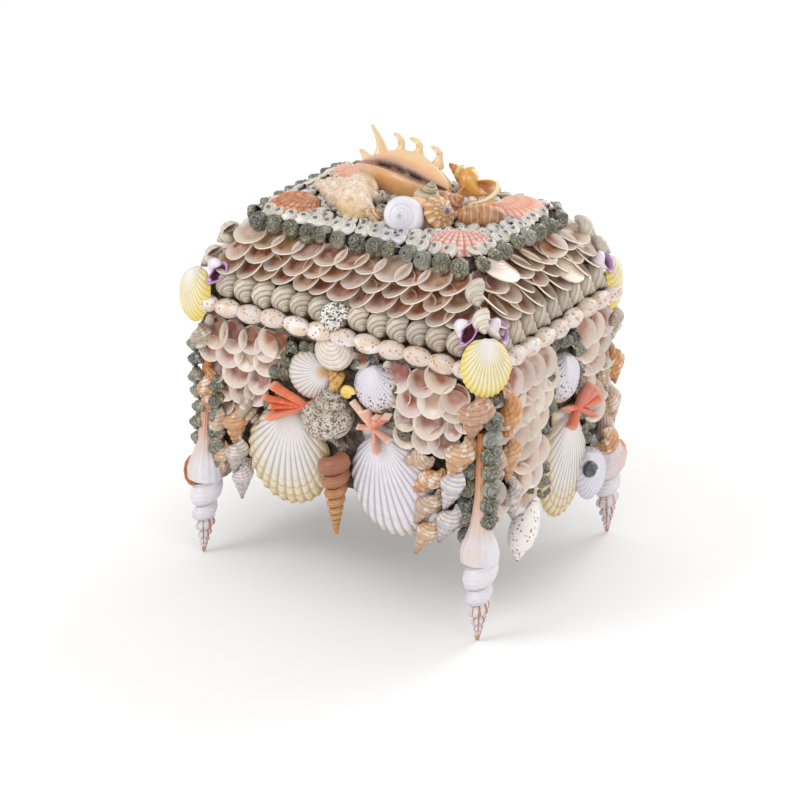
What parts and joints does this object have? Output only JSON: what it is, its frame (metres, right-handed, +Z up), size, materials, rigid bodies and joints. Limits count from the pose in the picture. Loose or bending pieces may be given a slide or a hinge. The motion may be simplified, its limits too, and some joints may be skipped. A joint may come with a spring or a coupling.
{
  "type": "shell box",
  "caption": "Lidded wooden box covered all over with sea shells, standing on spindle shells, its hollow lid lifting off and carrying conches on its flat top.",
  "frame": {"origin": "on the floor, under the middle of the box", "axes": "+Z up; the front long wall faces -Y; +X runs along the box to the right as seen from the front"},
  "size_m": [0.2836, 0.2372, 0.3261],
  "materials": {
    "dark_wood": "dark varnished board",
    "clam": "smooth cream to brownish pink shell",
    "barrel_shell": "smooth cream shell with rows of brown dots",
    "grey_snail": "grey beige snail shell with fine rings",
    "dark_snail": "dark olive mottled snail shell",
    "white_scallop": "white ribbed scallop, yellow near its margin",
    "white_cockle": "white ribbed cockle",
    "yellow_cockle": "yellow ribbed cockle",
    "orange_fan": "orange and coral ribbed fan shell",
    "spindle_shell": "off-white spindle shell with an orange canal",
    "turret_shell": "orange brown banded turret shell",
    "whelk": "brown, white and grey banded whelks",
    "speckled_turban": "white and brown speckled knobbly shell",
    "orange_conch": "glossy orange yellow conch",
    "pink_conch": "rough pink and tan conch",
    "moon_shell": "pale lavender moon shell",
    "orange_turban": "ribbed orange and white turban shell",
    "cream_snail": "striped cream snail shell",
    "brown_cask": "orange brown cask shell"
  },
  "bodies": {
    "root": {"box_body": "dark_wood", "brown_cask": "brown_cask", "clam_cluster_back_left": "clam", "clam_cluster_back_right": "clam", "clam_cluster_front_left": "clam", "clam_cluster_front_right": "clam", "clam_cluster_left_far": "clam", "clam_cluster_left_near": "clam", "clam_cluster_right_far": "clam", "clam_cluster_right_near": "clam", "foot_spindle_back_left": "spindle_shell", "foot_spindle_back_right": "spindle_shell", "foot_spindle_front_left": "spindle_shell", "foot_spindle_front_right": "spindle_shell", "knobbly_turban_back": "speckled_turban", "knobbly_turban_front": "speckled_turban", "lid": "dark_wood", "lid_barrel_row": "barrel_shell", "lid_clam_band": "clam", "lid_dark_snail_row": "dark_snail", "lid_fan_back_left": "orange_fan", "lid_fan_back_right": "orange_fan", "lid_fan_front_left": "orange_fan", "lid_fan_front_right": "orange_fan", "lid_snail_row": "grey_snail", "moon_shell": "moon_shell", "ribbed_turban": "orange_turban", "rough_conch": "pink_conch", "scallop_back_left": "white_scallop", "scallop_back_right": "white_scallop", "scallop_front_left": "white_scallop", "scallop_front_right": "white_scallop", "scallop_left": "white_scallop", "scallop_right": "white_scallop", "side_cockle_left": "white_cockle", "side_cockle_right": "white_cockle", "side_ribbed_shell_left": "white_cockle", "side_ribbed_shell_right": "white_cockle", "speckled_cockle_back": "white_cockle", "speckled_cockle_front": "white_cockle", "spider_conch": "orange_conch", "striped_snail": "cream_snail", "turret_pendant_back": "turret_shell", "turret_pendant_front": "turret_shell", "whelks_back_left": "whelk", "whelks_back_right": "whelk", "whelks_front_left": "whelk", "whelks_front_right": "whelk", "whelks_left_far": "whelk", "whelks_left_near": "whelk", "whelks_right_far": "whelk", "whelks_right_near": "whelk", "white_cockle_back": "white_cockle", "white_cockle_front": "white_cockle", "yellow_cockle_back_left": "yellow_cockle", "yellow_cockle_back_right": "yellow_cockle", "yellow_cockle_front_left": "yellow_cockle", "yellow_cockle_front_right": "yellow_cockle", "yellow_conch": "orange_conch"}
  },
  "joints": []
}
